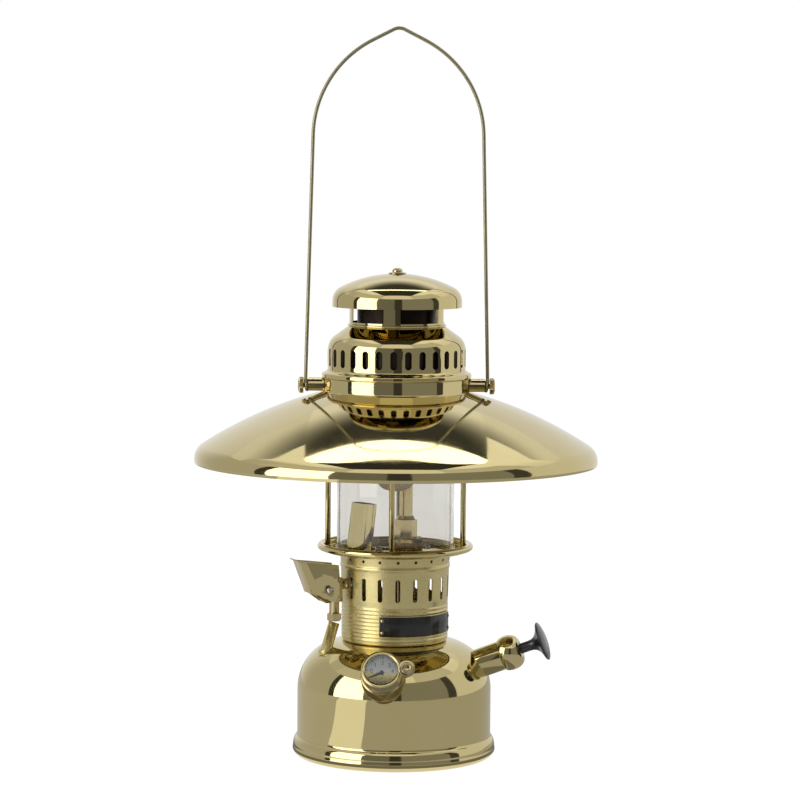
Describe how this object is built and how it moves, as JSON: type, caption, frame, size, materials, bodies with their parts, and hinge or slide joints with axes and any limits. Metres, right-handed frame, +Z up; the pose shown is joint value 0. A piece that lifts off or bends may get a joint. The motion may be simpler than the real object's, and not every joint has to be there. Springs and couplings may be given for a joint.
{
  "type": "kerosene oil lamp",
  "caption": "Brass kerosene pressure lamp with pumped tank, gauge cap, preheater lever, slotted collar, caged glass, wide shade, vented hood and a swinging wire bail.",
  "frame": {"origin": "centre of the foot on the ground", "axes": "+Z up, the gauge cap faces -Y, the pump is on the +X side"},
  "size_m": [0.3368, 0.3368, 0.608],
  "materials": {
    "brass": "polished",
    "satin_brass": "satin",
    "steel": "brushed",
    "burner_steel": "heat tinted",
    "bail_steel": "satin",
    "black_plastic": "gloss",
    "handwheel": "gloss",
    "label": "gloss paint",
    "leather": "oiled",
    "gasket": "matt",
    "dial": "printed",
    "needle": "matt paint",
    "gauge_glass": "clear",
    "glass": "clear",
    "ceramic": "matt ceramic",
    "mantle": "burnt-in mesh"
  },
  "bodies": {
    "lamp": {"tank": "brass", "tank_bottom": "brass", "filler_neck": "brass", "pump_barrel": "brass", "pump_check_valve": "brass", "pump_cap": "brass", "preheater_tube": "brass", "preheater_nut": "brass", "preheater_valve": "brass", "preheater_pin": "steel", "preheater_pipe": "brass", "preheater_flame_tube": "brass", "vaporiser_base": "brass", "pickup_tube": "brass", "vaporiser_nut": "brass", "vaporiser_tube": "brass", "vaporiser_jet": "brass", "gland_nut": "brass", "spirit_cup": "brass", "collar": "satin_brass", "label_plate": "label", "label_rivets": "brass", "cage_floor": "brass", "floor_screws": "steel", "cage_rods": "brass", "cage_top_ring": "brass", "globe": "glass", "shade": "brass", "screw_bushes": "brass"},
    "filler_seal": {"filler_gasket": "gasket"},
    "filler_cap": {"filler_cap": "brass", "gauge_dial": "dial", "gauge_glass": "gauge_glass", "gauge_bezel": "brass"},
    "gauge_needle": {"gauge_needle": "needle"},
    "vent_screw": {"vent_screw": "brass"},
    "pump_plunger": {"pump_rod": "steel", "pump_leather": "leather", "pump_nut": "brass", "pump_knob": "black_plastic"},
    "preheater_lever": {"preheater_lever": "brass"},
    "preheater_spindle": {"preheater_spindle": "steel"},
    "handwheel": {"control_spindle": "steel", "handwheel": "handwheel"},
    "cleaning_rod": {"cleaning_rod": "steel"},
    "hood": {"hood_shell": "brass", "hood_skirt": "brass", "hood_liner": "brass", "hood_neck": "brass", "hood_cap": "brass", "cap_nut": "brass", "burner_plate": "burner_steel", "mixing_tube": "burner_steel", "mixing_chamber": "burner_steel", "ceramic_nozzle": "ceramic", "mantle": "mantle"},
    "bail": {"bail": "bail_steel"},
    "hood_screw_left": {"hood_screw_left": "brass"},
    "hood_screw_right": {"hood_screw_right": "brass"}
  },
  "joints": [
    {"name": "filler_lift", "type": "slide", "parent": "lamp", "child": "filler_seal", "axis": [-0.0846, -0.8046, 0.5878], "range_m": [0, 0.006]},
    {"name": "filler_turn", "type": "hinge", "parent": "filler_seal", "child": "filler_cap", "pos_m": [-0.00812, -0.07723, 0.07268], "axis": [-0.0846, -0.8046, 0.5878], "range_deg": [0, 1085]},
    {"name": "gauge_needle_turn", "type": "hinge", "parent": "filler_cap", "child": "gauge_needle", "pos_m": [-0.00812, -0.07723, 0.07268], "axis": [-0.0846, -0.8046, 0.5878], "range_deg": [-230, 0]},
    {"name": "vent_screw_turn", "type": "hinge", "parent": "filler_cap", "child": "vent_screw", "pos_m": [0.00846, -0.08696, 0.08216], "axis": [0.0779, -0.9197, 0.3848], "range_deg": [0, 720]},
    {"name": "pump_stroke", "type": "slide", "parent": "lamp", "child": "pump_plunger", "axis": [0.9245, -0.1299, 0.3584], "range_m": [0, 0.07]},
    {"name": "preheater_lever_swing", "type": "hinge", "parent": "lamp", "child": "preheater_lever", "pos_m": [-0.05707, -0.02423, 0.1426], "axis": [0.3907, -0.9205, 0], "range_deg": [0, 60]},
    {"name": "preheater_spindle_lift", "type": "slide", "parent": "lamp", "child": "preheater_spindle", "axis": [0, 0, 1], "range_m": [0, 0.0031]},
    {"name": "handwheel_turn", "type": "hinge", "parent": "lamp", "child": "handwheel", "pos_m": [0.009, 0.05, 0.114], "axis": [0, 1, 0], "range_deg": [0, 180]},
    {"name": "cleaning_rod_lift", "type": "slide", "parent": "lamp", "child": "cleaning_rod", "axis": [0, 0, 1], "range_m": [0, 0.00241]},
    {"name": "hood_lift", "type": "slide", "parent": "lamp", "child": "hood", "axis": [0, 0, 1], "range_m": [0, 0.14]},
    {"name": "bail_swing", "type": "hinge", "parent": "lamp", "child": "bail", "pos_m": [0, 0, 0.3103], "axis": [1, 0, 0], "range_deg": [-100, 100]},
    {"name": "hood_screw_left_turn", "type": "hinge", "parent": "lamp", "child": "hood_screw_left", "pos_m": [0, 0, 0.3103], "axis": [-1, 0, 0], "range_deg": [0, 1080]},
    {"name": "hood_screw_right_turn", "type": "hinge", "parent": "lamp", "child": "hood_screw_right", "pos_m": [0, 0, 0.3103], "axis": [1, 0, 0], "range_deg": [0, 1080]}
  ],
  "couplings": [
    {"joint": "filler_turn", "follows": "filler_lift", "rad_per_m": 3141.6},
    {"joint": "preheater_spindle_lift", "follows": "preheater_lever_swing", "m_per_rad": 0.0028648},
    {"joint": "cleaning_rod_lift", "follows": "handwheel_turn", "m_per_rad": 0.00076394}
  ]
}
